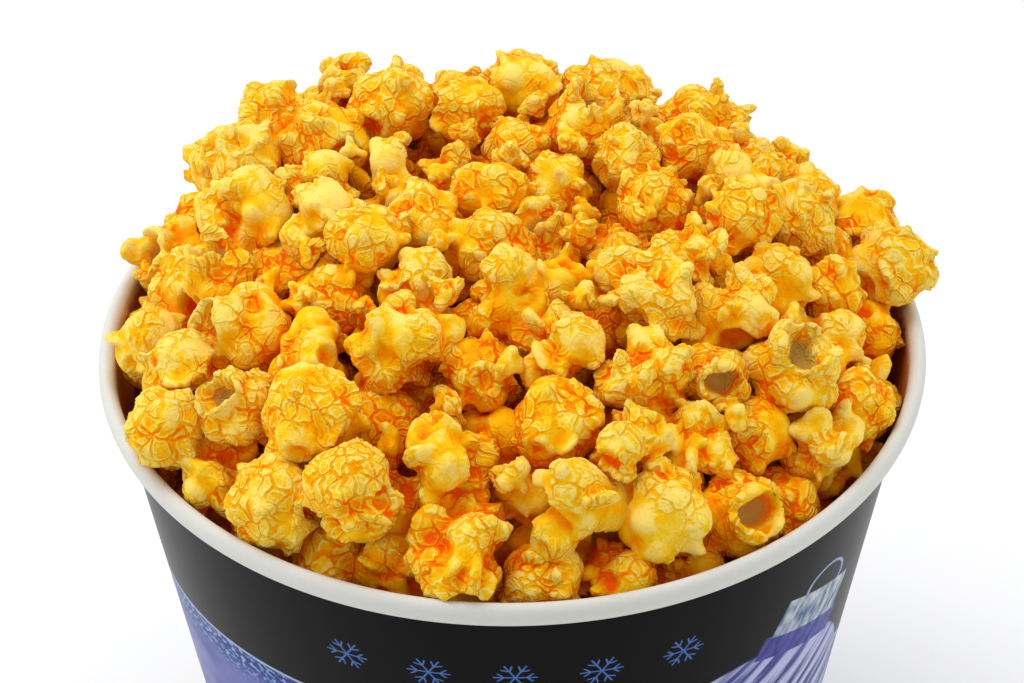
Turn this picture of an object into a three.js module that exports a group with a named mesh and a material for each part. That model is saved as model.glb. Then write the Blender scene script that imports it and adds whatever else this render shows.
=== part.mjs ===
// A large paper bucket of cheese popcorn, heaped above its rolled rim.
// Millimetres, +Z up. The origin is the centre of the foot ring, on the surface that the bucket stands on.
// Three pieces: the conical paper wall with its rolled rim and folded hem, the recessed base that the hem
// holds, and the popcorn, one solid out to the uneven outline of its outermost flakes.
import * as THREE from "three";

// Bucket
const HEIGHT = 205; // foot to the top of the rolled rim
const RIM_RADIUS = 111; // outside of the rolled rim
const ROLL_WIDTH = 4.4; // the rim's roll is a hollow curl, pressed flat against the wall
const ROLL_HEIGHT = 6.3;
const BOARD = 0.6; // thickness of the coated paperboard
const TAPER = 0.132; // radius lost for each millimetre down
const SEAT_GAP = 0.3; // free space between pieces that touch
const SEGMENTS = 56; // round the bucket

// Foot: the wall is folded up round the skirt of the base
const HEM_HEIGHT = 8;
const BASE_HEIGHT = 10; // underside of the base above the surface

// Heap of popcorn, its heights counted from the top of the rim
const FLAKE_RIM = 108; // the flakes keep clear of a round rim of this radius
const FLAKE_CLEAR = 3; // and this thick
const CROWN = 53; // height of the middle of the heap
const CROWN_REACH = 110; // radius at which the heap has come down to the rim
const BACK_RISE = 5; // how much higher the heap stands towards +Y, and lower towards -Y
const SHOULDERS = [
  { x: -60, y: 48, rise: 15, width: 27 },
  { x: 70, y: 30, rise: 6, width: 24 },
  { x: 0, y: 62, rise: 4, width: 40 },
];
const FLAKE_LEAST = 9; // radius of the smallest flake
const FLAKE_SPREAD = 3.2; // and how much larger the largest is
// Flakes at the surface and in the two layers under it: the least that their tops lie below the level of the
// heap, and how much further they may.
const LAYERS = [
  { count: 110, depth: -4, uneven: 5 },
  { count: 75, depth: 13, uneven: 8 },
  { count: 60, depth: 26, uneven: 8 },
];
const HEAP_DEPTH = 50; // flakes do not sink further than this below the surface
const LEAN_OUT = 103.5; // furthest that the centre of a flake above the rim lies from the axis
const DOME_DEPTH = 20; // the plain dome that the outline is raised from, below the level of the heap
const DOME_RADIUS = 97;
const SETTLE_STEPS = 70;
const MOST_THROWS = 30000; // for one layer
const SEED = 20;

const rollRadius = RIM_RADIUS - ROLL_WIDTH / 2; // centreline of the roll
const rollHeight = HEIGHT - ROLL_HEIGHT / 2;
const mouth = rollRadius - ROLL_WIDTH / 2; // inside radius of the mouth
const innerAt = (z) => mouth - TAPER * (rollHeight - z);
const outerAt = (z) => innerAt(z) + BOARD;

// A closed profile of [radius, height] points turned round +Z.
function turned(points) {
  const profile = points.map(([r, z]) => new THREE.Vector2(r, z));
  return new THREE.LatheGeometry(profile, SEGMENTS).rotateX(Math.PI / 2);
}

// Points of an arc of the roll's oval section, from one angle to another in degrees, some way under its skin.
function rollArc(under, from, to, steps) {
  return Array.from({ length: steps + 1 }, (_, i) => {
    const angle = THREE.MathUtils.degToRad(from + ((to - from) * i) / steps);
    return [
      rollRadius + (ROLL_WIDTH / 2 - under) * Math.cos(angle),
      rollHeight + (ROLL_HEIGHT / 2 - under) * Math.sin(angle),
    ];
  });
}

// The wall: up the inside, round the curl and back inside it, down the outside, and round the hem.
function wallGeometry() {
  const curlEnd = -130; // where the curl stops just short of the wall
  const hemOuter = (z) => innerAt(z) - BOARD - 2 * SEAT_GAP;
  const hemInner = (z) => hemOuter(z) - BOARD;
  const profile = [
    [innerAt(BOARD), BOARD],
    ...rollArc(0, 180, curlEnd, 12),
    ...rollArc(BOARD, curlEnd, 165, 8),
    [outerAt(0), 0],
    [hemInner(0), 0],
    [hemInner(HEM_HEIGHT), HEM_HEIGHT],
    [hemOuter(HEM_HEIGHT), HEM_HEIGHT],
    [hemOuter(BOARD), BOARD],
  ];
  return turned([...profile, profile[0]].reverse());
}

// The base: a disc with a skirt turned down between the wall and its hem.
function baseGeometry() {
  const skirtOuter = (z) => innerAt(z) - SEAT_GAP;
  const skirtInner = (z) => skirtOuter(z) - BOARD;
  const skirtFoot = BOARD + SEAT_GAP;
  const top = BASE_HEIGHT + BOARD;
  return turned([
    [0, BASE_HEIGHT],
    [skirtInner(BASE_HEIGHT), BASE_HEIGHT],
    [skirtInner(skirtFoot), skirtFoot],
    [skirtOuter(skirtFoot), skirtFoot],
    [skirtOuter(top), top],
    [0, top],
  ]);
}

// Height of the plain dome of the heap above the rim, over a place in the mouth.
function domeLevel(x, y) {
  const share = (x * x + y * y) / (CROWN_REACH * CROWN_REACH);
  return CROWN * (1 - share * share) + (BACK_RISE * y) / FLAKE_RIM;
}

// The dome with its shoulders.
function heapLevel(x, y) {
  let height = domeLevel(x, y);
  for (const s of SHOULDERS) {
    const spread =
      1 + ((x - s.x) * (x - s.x) + (y - s.y) * (y - s.y)) / (s.width * s.width);
    height += s.rise / (spread * spread);
  }
  return height;
}

// A repeatable row of numbers from 0 to 1.
function numberRow(seed) {
  let state = seed;
  return () => {
    state = (state * 16807) % 2147483647;
    return state / 2147483647;
  };
}

// Widest that a flake's centre may lie from the axis: in the bucket its side meets the wall, and above the
// rim it may lean out over the roll.
function reachAt(z, radius) {
  const flakeMouth = FLAKE_RIM - FLAKE_CLEAR;
  return z < -FLAKE_CLEAR ? flakeMouth - radius + TAPER * z : LEAN_OUT;
}

// Flakes thrown into the heap layer by layer, none too near another.
function thrownFlakes() {
  const next = numberRow(SEED);
  const nearest = 0.8; // of the two radii together
  const flakes = [];
  for (const layer of LAYERS) {
    let placed = 0;
    for (let k = 0; placed < layer.count && k < MOST_THROWS; k++) {
      const x = (next() * 2 - 1) * FLAKE_RIM;
      const y = (next() * 2 - 1) * FLAKE_RIM;
      const radius = FLAKE_LEAST + FLAKE_SPREAD * next();
      const depth = layer.depth + layer.uneven * next();
      const z = heapLevel(x, y) - depth - radius;
      if (x * x + y * y > reachAt(z, radius) ** 2) continue;
      const crowded = flakes.some((f) => {
        const apart = nearest * (radius + f.radius);
        return (
          (x - f.x) ** 2 + (y - f.y) ** 2 + (z - f.z) ** 2 < apart * apart
        );
      });
      if (crowded) continue;
      flakes.push({ x, y, z, radius });
      placed++;
    }
  }
  return flakes;
}

// Lets the flakes sink a little and push each other, the wall and the roll away.
function settledFlakes() {
  const flakes = thrownFlakes();
  const sink = 0.3;
  const nestling = 0.94; // flakes are bumpy, so they nest closer than balls
  const share = 0.3; // of each overlap that a flake gives way in one step
  for (let step = 0; step < SETTLE_STEPS; step++) {
    for (const f of flakes) f.z -= sink;
    const moves = flakes.map((f) => {
      const move = [0, 0, 0];
      for (const g of flakes) {
        if (f === g) continue;
        const [dx, dy, dz] = [f.x - g.x, f.y - g.y, f.z - g.z];
        const apart = Math.sqrt(dx * dx + dy * dy + dz * dz);
        const over = (f.radius + g.radius) * nestling - apart;
        if (over <= 0) continue;
        const push = (over / apart) * share;
        move[0] += dx * push;
        move[1] += dy * push;
        move[2] += dz * push;
      }
      return move;
    });
    flakes.forEach((f, i) => {
      f.x += moves[i][0];
      f.y += moves[i][1];
      f.z += moves[i][2];
      keepInBucket(f);
    });
  }
  return flakes;
}

// Holds one flake above the floor of the heap, inside the wall and clear of the roll.
function keepInBucket(f) {
  f.z = Math.max(f.z, heapLevel(f.x, f.y) - HEAP_DEPTH);
  const out = Math.sqrt(f.x * f.x + f.y * f.y);
  const inwards = Math.min(1, reachAt(f.z, f.radius) / out);
  f.x *= inwards;
  f.y *= inwards;
  const rho = out * inwards;
  const dr = rho - FLAKE_RIM;
  const dz = f.z + FLAKE_CLEAR;
  const apart = Math.sqrt(dr * dr + dz * dz);
  const push = Math.max(0, f.radius + FLAKE_CLEAR + SEAT_GAP - apart) / apart;
  const sideways = (rho + dr * push) / rho;
  f.x *= sideways;
  f.y *= sideways;
  f.z += dz * push;
}

// A square's place (a, b), each from -1 to 1, taken to an even place in a disc of radius 1.
function discPlace(a, b) {
  if (a === 0 && b === 0) return { x: 0, y: 0 };
  const quarter = Math.PI / 4;
  const [radius, angle] =
    Math.abs(a) > Math.abs(b)
      ? [a, (quarter * b) / a]
      : [b, Math.PI / 2 - (quarter * a) / b];
  return { x: radius * Math.cos(angle), y: radius * Math.sin(angle) };
}

// From a smooth dome under the surface, straight out to the far side of the outermost flake there.
// Even at the dome's edge this climbs more steeply than the flank of the roll, so it stays clear of it.
function surfacePoint(x, y, flakes) {
  const foot = new THREE.Vector3(x, y, HEIGHT + domeLevel(x, y) - DOME_DEPTH);
  const fall =
    (4 * CROWN * (x * x + y * y)) / (CROWN_REACH * CROWN_REACH) ** 2;
  const outwards = new THREE.Vector3(
    fall * x,
    fall * y - BACK_RISE / FLAKE_RIM,
    1,
  ).normalize();
  let reach = 0;
  for (const f of flakes) {
    const towards = new THREE.Vector3(f.x, f.y, f.z + HEIGHT).sub(foot);
    const along = towards.dot(outwards);
    const side = f.radius * f.radius - (towards.lengthSq() - along * along);
    if (side > 0) reach = Math.max(reach, along + Math.sqrt(side));
  }
  return foot.addScaledVector(outwards, reach);
}

// The popcorn: an even grid over the disc of the mouth, lifted to the flakes. Its last ring lies just inside
// the lip, and from there the popcorn fills the bucket down to the base.
function popcornGeometry() {
  const rings = 24;
  const cells = 2 * rings;
  const lipHeight = HEIGHT - 0.5;
  const floorHeight = BASE_HEIGHT + BOARD + SEAT_GAP;
  const insideFacets = Math.cos(Math.PI / SEGMENTS); // the flats of the wall lie this much nearer
  const lipRadius = mouth * insideFacets - SEAT_GAP;
  const floorRadius = innerAt(floorHeight) * insideFacets - SEAT_GAP;
  const flakes = settledFlakes();
  const positions = [];
  for (let j = 0; j <= cells; j++) {
    for (let i = 0; i <= cells; i++) {
      const place = discPlace(i / rings - 1, j / rings - 1);
      const ring = Math.max(Math.abs(i - rings), Math.abs(j - rings));
      if (ring === rings) {
        positions.push(place.x * lipRadius, place.y * lipRadius, lipHeight);
      } else {
        const out = (DOME_RADIUS * rings) / (rings - 1);
        positions.push(...surfacePoint(place.x * out, place.y * out, flakes));
      }
    }
  }
  const index = [];
  const at = (i, j) => j * (cells + 1) + i;
  for (let j = 0; j < cells; j++) {
    for (let i = 0; i < cells; i++) {
      index.push(at(i, j), at(i + 1, j), at(i + 1, j + 1));
      index.push(at(i, j), at(i + 1, j + 1), at(i, j + 1));
    }
  }
  // Once round the edge of the grid, then the same ring at the floor and the floor's centre.
  const lip = [];
  for (let k = 0; k < cells; k++) lip.push(at(k, 0));
  for (let k = 0; k < cells; k++) lip.push(at(cells, k));
  for (let k = cells; k > 0; k--) lip.push(at(k, cells));
  for (let k = cells; k > 0; k--) lip.push(at(0, k));
  const floor = positions.length / 3;
  const shrink = floorRadius / lipRadius;
  for (const v of lip) {
    positions.push(
      positions[3 * v] * shrink,
      positions[3 * v + 1] * shrink,
      floorHeight,
    );
  }
  const centre = positions.length / 3;
  positions.push(0, 0, floorHeight);
  lip.forEach((v, k) => {
    const next = (k + 1) % lip.length;
    index.push(v, floor + k, floor + next);
    index.push(v, floor + next, lip[next]);
    index.push(centre, floor + next, floor + k);
  });
  const geometry = new THREE.BufferGeometry();
  geometry.setAttribute(
    "position",
    new THREE.Float32BufferAttribute(positions, 3),
  );
  geometry.setIndex(index);
  geometry.computeVertexNormals();
  return geometry;
}

function piece(name, geometry, color, roughness) {
  const material = new THREE.MeshStandardMaterial({
    color,
    roughness,
    metalness: 0,
  });
  const mesh = new THREE.Mesh(geometry, material);
  mesh.name = name;
  return mesh;
}

const bucket = new THREE.Group();
bucket.add(piece("wall", wallGeometry(), 0x1b1a18, 0.35));
bucket.add(piece("base", baseGeometry(), 0xe4e5de, 0.5));
bucket.add(piece("popcorn", popcornGeometry(), 0xf2b430, 0.7));

export default bucket;
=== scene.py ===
import bmesh
import bpy
import math
import random
from collections import namedtuple

import numpy as np
from mathutils import Matrix, Vector


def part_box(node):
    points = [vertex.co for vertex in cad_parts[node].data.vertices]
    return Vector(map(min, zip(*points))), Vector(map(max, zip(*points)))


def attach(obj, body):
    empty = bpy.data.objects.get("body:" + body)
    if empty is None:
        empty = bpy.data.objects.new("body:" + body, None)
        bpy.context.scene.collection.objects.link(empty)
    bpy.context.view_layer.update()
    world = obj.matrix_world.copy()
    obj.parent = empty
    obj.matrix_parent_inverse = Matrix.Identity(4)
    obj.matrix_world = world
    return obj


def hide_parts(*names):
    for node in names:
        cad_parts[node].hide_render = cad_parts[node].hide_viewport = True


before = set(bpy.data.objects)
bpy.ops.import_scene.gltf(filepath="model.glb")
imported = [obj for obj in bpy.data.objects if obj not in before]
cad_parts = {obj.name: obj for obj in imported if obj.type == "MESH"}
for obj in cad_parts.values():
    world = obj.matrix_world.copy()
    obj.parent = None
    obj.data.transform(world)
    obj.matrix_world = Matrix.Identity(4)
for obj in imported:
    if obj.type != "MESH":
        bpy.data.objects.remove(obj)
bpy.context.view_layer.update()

# ---- sizes, in metres
MM = 0.001

wall_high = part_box("wall")[1]
base_low, base_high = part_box("base")
HEIGHT = wall_high.z  # foot to the top of the rolled rim
RIM_RADIUS = wall_high.x
ROLL_WIDTH = 4.4 * MM  # the rim's roll is a hollow curl, pressed flat against the wall
ROLL_TALL = 6.3 * MM
BOARD = 0.6 * MM  # thickness of the paperboard
TAPER = 0.132  # radius lost for each metre down
SEAT_GAP = 0.3 * MM
HEM_HEIGHT = 8 * MM
SEAM_WIDTH = 9 * MM  # the wall's side seam, at the back
SEAM_RISE = 0.45 * MM
WAVE = 0.25 * MM  # how far the wall is out of round
BASE_SAG = 0.6 * MM
UNROLL_RADIUS = 100 * MM  # the print is laid out for a wall of this radius

ROLL_RADIUS = RIM_RADIUS - ROLL_WIDTH / 2  # centreline of the roll
ROLL_HEIGHT = HEIGHT - ROLL_TALL / 2
MOUTH = ROLL_RADIUS - ROLL_WIDTH / 2

# The heap, with its heights counted from the top of the rim
FLAKE_RIM = 108 * MM  # the flakes keep clear of a round rim of this radius
FLAKE_CLEAR = 3 * MM  # and as thick as this
CROWN = 53 * MM
CROWN_REACH = 110 * MM
BACK_RISE = 5 * MM
SHOULDERS = (  # x, y, rise, width
    (-60 * MM, 48 * MM, 15 * MM, 27 * MM),
    (70 * MM, 30 * MM, 6 * MM, 24 * MM),
    (0, 62 * MM, 4 * MM, 40 * MM),
)
FLAKE_LEAST = 9 * MM
FLAKE_SPREAD = 3.2 * MM
LAYERS = ((110, -4 * MM, 5 * MM), (75, 13 * MM, 8 * MM), (60, 26 * MM, 8 * MM))  # count, depth, uneven
HEAP_DEPTH = 50 * MM
LEAN_OUT = 103.5 * MM
SETTLE_STEPS = 70
MOST_THROWS = 30000
HEAP_SEED = 20

FLAKE = 10.5 * MM  # radius that the flake shapes are made at
SWELL = 1.10  # flakes press into each other a little
VOXEL = 0.85 * MM  # grain of their meshes
UNDER_COARSE = 1.9  # and how much coarser it is under the surface of the heap
FOLD_DEPTH = 0.8 * MM  # how far the skin sinks between two folds
LOOSE_BITS = 36
PLATE = 4.3 * MM  # the plates that the skin of a flake cracks into
CRUMPLE = 1.3 * MM  # the finer wrinkles on them
RELIEF = 0.4 * MM  # how far grooves and wrinkles stand in and out
LUMPS = 2 * MM  # and the broad lumps of a flake


def inner_at(z):
    """Inside radius of the wall at a height."""
    return MOUTH - TAPER * (ROLL_HEIGHT - z)


# ---- node helpers
def linear(hex_colour, alpha=1.0):
    """An sRGB hex colour as the linear colour that a material's sockets take."""
    values = [int(hex_colour[i : i + 2], 16) / 255 for i in (1, 3, 5)]
    return tuple(v / 12.92 if v <= 0.04045 else ((v + 0.055) / 1.055) ** 2.4 for v in values) + (alpha,)


def add(tree, kind, inputs=(), **settings):
    """Adds a node with its settings. Its inputs, in order or by name, are values or what to link to them."""
    node = tree.nodes.new(kind)
    for name, value in settings.items():
        setattr(node, name, value)
    for name, value in inputs.items() if isinstance(inputs, dict) else enumerate(inputs):
        if isinstance(value, bpy.types.Node):
            value = next(socket for socket in value.outputs if socket.enabled)
        if isinstance(value, bpy.types.NodeSocket):
            tree.links.new(value, node.inputs[name])
        else:
            node.inputs[name].default_value = value
    return node


def new_material(name):
    """A new material, with its tree and its surface shader."""
    material = bpy.data.materials.new(name)
    material.use_nodes = True
    tree = material.node_tree
    tree.nodes.clear()
    surface = add(tree, "ShaderNodeBsdfPrincipled")
    add(tree, "ShaderNodeOutputMaterial", {"Surface": surface})
    return material, tree, surface


# ---- the heap's flakes
def heap_level(x, y):
    """Height of the heap's surface above the rim."""
    share = (x * x + y * y) / (CROWN_REACH * CROWN_REACH)
    height = CROWN * (1 - share * share) + BACK_RISE * y / FLAKE_RIM
    for sx, sy, rise, width in SHOULDERS:
        spread = 1 + ((x - sx) ** 2 + (y - sy) ** 2) / width**2
        height = height + rise / spread**2
    return height


def number_row(seed):
    """An endless row of numbers between 0 and 1, the same for the same seed."""
    state = seed
    while True:
        state = state * 16807 % 2147483647
        yield state / 2147483647


def reach_at(z, radius):
    """Widest that a flake's centre may lie from the axis."""
    return np.where(z < -FLAKE_CLEAR, FLAKE_RIM - FLAKE_CLEAR - radius + TAPER * z, LEAN_OUT)


def thrown_flakes():
    """Flakes thrown into the heap layer by layer: rows of x, y, z and radius, and each one's layer."""
    row = number_row(HEAP_SEED)
    nearest = 0.8
    flakes = np.zeros((0, 4))
    layers = []
    for layer, (count, least_depth, uneven) in enumerate(LAYERS):
        placed = 0
        for _ in range(MOST_THROWS):
            if placed == count:
                break
            x = (next(row) * 2 - 1) * FLAKE_RIM
            y = (next(row) * 2 - 1) * FLAKE_RIM
            radius = FLAKE_LEAST + FLAKE_SPREAD * next(row)
            z = heap_level(x, y) - (least_depth + uneven * next(row)) - radius
            if x * x + y * y > reach_at(z, radius) ** 2:
                continue
            apart = nearest * (radius + flakes[:, 3])
            if (((flakes[:, :3] - (x, y, z)) ** 2).sum(axis=1) < apart**2).any():
                continue
            flakes = np.vstack([flakes, (x, y, z, radius)])
            layers.append(layer)
            placed += 1
    return flakes, np.array(layers)


def settled_flakes():
    """Lets the flakes sink a little and push each other, the wall and the rim's roll away."""
    flakes, layers = thrown_flakes()
    places, radius = flakes[:, :3].copy(), flakes[:, 3]
    sink, nestling, share = 0.3 * MM, 0.94, 0.3
    together = (radius[:, None] + radius[None]) * nestling
    np.fill_diagonal(together, 0)
    for _ in range(SETTLE_STEPS):
        places[:, 2] -= sink
        ways = places[:, None] - places[None]
        apart = np.sqrt((ways**2).sum(axis=2)) + np.eye(len(places))
        over = np.maximum(together - apart, 0)
        places += (ways * (over / apart * share)[:, :, None]).sum(axis=1)
        floor = heap_level(places[:, 0], places[:, 1]) - HEAP_DEPTH
        places[:, 2] = np.maximum(places[:, 2], floor)
        out = np.hypot(places[:, 0], places[:, 1])
        inwards = np.minimum(1, reach_at(places[:, 2], radius) / out)
        places[:, :2] *= inwards[:, None]
        out *= inwards
        from_roll, above_roll = out - FLAKE_RIM, places[:, 2] + FLAKE_CLEAR
        apart = np.hypot(from_roll, above_roll)
        push = np.maximum(0, radius + FLAKE_CLEAR + SEAT_GAP - apart) / apart
        places[:, :2] *= ((out + from_roll * push) / out)[:, None]
        places[:, 2] += above_roll * push
    places[:, 2] += HEIGHT
    return places, radius, layers


# ---- the shapes of single flakes
def spread_directions(count, rng, jitter=0.25):
    """Directions spread evenly over a ball and then shaken a little."""
    golden = math.pi * (3 - math.sqrt(5))
    for k in range(count):
        z = 1 - 2 * (k + 0.5) / count
        across = math.sqrt(1 - z * z)
        way = Vector((across * math.cos(golden * k), across * math.sin(golden * k), z))
        yield (way + Vector([rng.uniform(-jitter, jitter) for _ in range(3)])).normalized()


def flaps(rng, count, reach, low=-1.0):
    """Thin curled flaps of skin that stand up round a flake: each lies across the way it grows."""
    lobes = []
    for way in spread_directions(count, rng, 0.8):
        if way.z < low:
            continue
        size = rng.uniform(0.22, 0.36)
        across = way.cross(Vector([rng.uniform(-1, 1) for _ in range(3)])).normalized()
        lobes.append((way * (reach - size * 0.35), (size, size, rng.uniform(0.1, 0.14)), across))
    return lobes


def round_lobes(rng):
    """A mushroom-shaped flake: a ball of broad bulges, with small curls at its foot."""
    lobes = [(Vector((0, 0, 0)), (0.80, 0.80, 0.80))]
    for way in spread_directions(11, rng):
        size = rng.uniform(0.36, 0.52)
        lobes.append((way * (0.99 - size + rng.uniform(-0.05, 0.04)), (size, size, size)))
    for k in range(4):
        turn = k * 1.1 + rng.uniform(-0.3, 0.3)
        way = Vector((math.cos(turn) * 0.75, math.sin(turn) * 0.75, -0.62)).normalized()
        size = rng.uniform(0.13, 0.2)
        lobes.append((way * 0.95, (size, size, size * 0.7)))
    return lobes + flaps(rng, 5, 0.92)


def cleft_lobes(rng):
    """Two or three big halves with deep creases between them."""
    lobes = []
    halves = rng.choice((2, 3))
    for k in range(halves):
        turn = 2 * math.pi * k / halves + rng.uniform(-0.2, 0.2)
        size = rng.uniform(0.56, 0.66) if halves == 2 else rng.uniform(0.46, 0.56)
        middle = Vector((math.cos(turn), math.sin(turn), rng.uniform(-0.15, 0.15))) * (0.98 - size)
        lobes.append((middle, (size, size, size * 1.12)))
        for way in spread_directions(6, rng, 0.4):
            bulge = rng.uniform(0.2, 0.32)
            lobes.append((middle + way * (size + 0.06 - bulge), (bulge, bulge, bulge)))
    for way in spread_directions(4, rng, 0.6):
        size = rng.uniform(0.13, 0.22)
        lobes.append((way * 0.72, (size, size, size)))
    return lobes + flaps(rng, 7, 0.85)


def butterfly_lobes(rng):
    """Wings that burst out every way from a small middle, with knobs at their ends."""
    lobes = [(Vector((0, 0, 0)), (0.46, 0.46, 0.46))]
    for way in spread_directions(6, rng, 0.35):
        size = rng.uniform(0.3, 0.44)
        lobes.append((way * (0.93 - size), (size, size, size * rng.uniform(0.6, 0.95))))
        for knob_way in spread_directions(3, rng, 0.8):
            knob = rng.uniform(0.12, 0.2)
            lobes.append((way * (0.93 - size) + knob_way * (size * 0.92), (knob, knob, knob * 0.8)))
    return lobes + flaps(rng, 9, 0.8)


def petal_lobes(rng):
    """A flake that has opened out into a few broad smooth petals."""
    lobes = [(Vector((0, 0, 0)), (0.44, 0.44, 0.4))]
    count = rng.choice((3, 4))
    for k in range(count):
        turn = 2 * math.pi * k / count + rng.uniform(-0.3, 0.3)
        size = rng.uniform(0.44, 0.56)
        way = Vector((math.cos(turn), math.sin(turn), rng.uniform(-0.45, 0.45))).normalized()
        lobes.append((way * (1.0 - size), (size, size, size * rng.uniform(0.62, 0.85))))
        for knob_way in spread_directions(2, rng, 0.9):
            knob = rng.uniform(0.12, 0.2)
            lobes.append((way * (1.0 - size) + knob_way * size * 0.9, (knob, knob, knob)))
    return lobes + flaps(rng, 7, 0.8)


def open_lobes(rng):
    """A flake that has burst open at the top, with curled lips round the opening."""
    lobes = round_lobes(rng)[:14]
    for k in range(7):
        if rng.random() < 0.15:
            continue
        turn = k * math.pi / 3.5 + rng.uniform(-0.25, 0.25)
        size = rng.uniform(0.2, 0.34)
        way = Vector((math.cos(turn), math.sin(turn), rng.uniform(-0.3, 0.5))).normalized()
        middle = Vector((way.x, way.y, 0)) * rng.uniform(0.44, 0.58) + Vector((0, 0, 0.8))
        lobes.append((middle, (size, size, rng.uniform(0.1, 0.15)), way))
    return lobes


def bit_lobes(rng):
    """A small broken or half-popped bit."""
    lobes = [(Vector((0, 0, 0)), (0.5, 0.5, 0.42))]
    for way in spread_directions(4, rng, 0.6):
        size = rng.uniform(0.25, 0.42)
        lobes.append((way * (0.9 - size), (size, size, size * rng.uniform(0.6, 1))))
    return lobes


def evaluated_mesh(piece):
    """The piece's mesh with its modifiers applied."""
    depsgraph = bpy.context.evaluated_depsgraph_get()
    depsgraph.update()
    return bpy.data.meshes.new_from_object(piece.evaluated_get(depsgraph))


def press_dent(places, normals, way, radius, depth, lip):
    """Presses a hollow into a flake's skin and curls a lip up round it."""
    way = np.array(way)
    along = places @ way
    out = np.linalg.norm(places - along[:, None] * way, axis=1) / radius
    facing = np.clip(normals @ way * 2, 0, 1) * (along > 0)
    hollow = np.clip(1 - out**2, 0, 1) ** 2 * depth
    curl = np.exp(-(((out - 1.05) / 0.22) ** 2)) * lip
    return places + way * ((curl - hollow) * facing)[:, None]


def open_mouth(places, radius, depth, rng):
    """Presses an uneven bowl into the top of a flake, and says how much of the hull shows at each place."""
    angle = np.arctan2(places[:, 1], places[:, 0])
    uneven = 1 + 0.22 * np.sin(2 * angle + rng.uniform(0, 6)) + 0.12 * np.sin(3 * angle + rng.uniform(0, 6))
    out = np.hypot(places[:, 0], places[:, 1]) / (radius * uneven)
    floor = depth + (FLAKE - depth) * out**4
    inside = (places[:, 2] > 0) & (out < 1)
    places[:, 2] = np.where(inside & (floor < places[:, 2]), floor, places[:, 2])
    return np.where(inside, np.clip((0.8 - out) * 5, 0, 1), 0)


def neighbour_means(values, edges, steps):
    """Each value averaged with its neighbours' again and again."""
    count = np.bincount(edges.ravel(), minlength=len(values))[:, None]
    for _ in range(steps):
        total = np.zeros_like(values)
        np.add.at(total, edges[:, 0], values[edges[:, 1]])
        np.add.at(total, edges[:, 1], values[edges[:, 0]])
        values = total / count
    return values


def flake_shape(name, lobes, rng, voxel, dents, mouth=None):
    """Melts a flake's lobes into one skin, dents it, and notes where it is folded in."""
    bm = bmesh.new()
    for middle, radii, *way in lobes:
        turn = way[0].to_track_quat("Z", "Y").to_matrix() if way else Matrix.Identity(3)
        place = Matrix.Translation(middle * FLAKE) @ (turn @ Matrix.Diagonal(Vector(radii) * FLAKE)).to_4x4()
        bmesh.ops.create_icosphere(bm, subdivisions=3, radius=1, matrix=place)
    mesh = bpy.data.meshes.new(name)
    bm.to_mesh(mesh)
    bm.free()
    piece = bpy.data.objects.new(name, mesh)
    bpy.context.scene.collection.objects.link(piece)
    remesh = piece.modifiers.new("melt", "REMESH")
    remesh.mode = "VOXEL"
    remesh.voxel_size = voxel
    smooth = piece.modifiers.new("soften", "SMOOTH")
    smooth.iterations = 2
    piece.data = evaluated_mesh(piece)
    piece.modifiers.clear()
    bpy.context.scene.collection.objects.unlink(piece)
    mesh = piece.data
    count = len(mesh.vertices)
    places, normals = np.zeros(count * 3), np.zeros(count * 3, np.float32)
    mesh.vertices.foreach_get("co", places)
    mesh.vertex_normals.foreach_get("vector", normals)
    places, normals = places.reshape(-1, 3), normals.reshape(-1, 3)
    # Spread-out flakes are made as large as round ones
    places *= min(1.25, max(1, 0.9 * FLAKE / math.sqrt((places**2).sum(axis=1).mean())))
    for way in spread_directions(dents, rng, 0.9):
        if mouth and way.z > 0.4:
            continue
        size = rng.uniform(0.22, 0.42) * FLAKE
        places = press_dent(places, normals, way, size, size * rng.uniform(0.3, 0.6), size * 0.22)
    hull = open_mouth(places, *mouth, rng) if mouth else np.zeros(count)
    edges = np.zeros(len(mesh.edges) * 2, np.int32)
    mesh.edges.foreach_get("vertices", edges)
    steps = max(2, round(6 * MM**2 / voxel**2))
    sunk = ((neighbour_means(places, edges.reshape(-1, 2), steps) - places) * normals).sum(axis=1)
    mesh.vertices.foreach_set("co", places.ravel())
    fold = np.clip(0.5 + sunk / FOLD_DEPTH, 0, 1)
    mesh.attributes.new("hull", "FLOAT", "POINT").data.foreach_set("value", hull)
    mesh.attributes.new("fold", "FLOAT", "POINT").data.foreach_set("value", fold)
    return piece


# A kind of flake: how its lobes are laid, how many shapes it has, dents in each, its share of the heap, how
# smooth its skin has stayed, and how much coarser its mesh is than the rest
Kind = namedtuple("Kind", "lobes shapes dents share calm coarse")
KINDS = {
    "round": Kind(round_lobes, 4, 3, share=0.4, calm=0.1, coarse=1.25),
    "cleft": Kind(cleft_lobes, 4, 5, share=0.2, calm=0.3, coarse=1),
    "butterfly": Kind(butterfly_lobes, 5, 6, share=0.17, calm=0.35, coarse=1),
    "petal": Kind(petal_lobes, 5, 4, share=0.12, calm=0.75, coarse=1),
    "open": Kind(open_lobes, 4, 4, share=0.11, calm=0.3, coarse=1),
    "bit": Kind(bit_lobes, 4, 3, share=0, calm=0.5, coarse=2),
}


def flake_shapes(name, voxel):
    """A collection of the shapes of one kind."""
    kind = KINDS[name]
    collection = bpy.data.collections.new(f"{name} flakes")
    mouth = (0.42 * FLAKE, 0.42 * FLAKE) if name == "open" else None
    for k in range(kind.shapes):
        rng = random.Random(f"{name} {k}")
        lobes = kind.lobes(rng)
        collection.objects.link(flake_shape(f"{name}_{k}", lobes, rng, voxel, kind.dents, mouth))
    return collection


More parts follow.
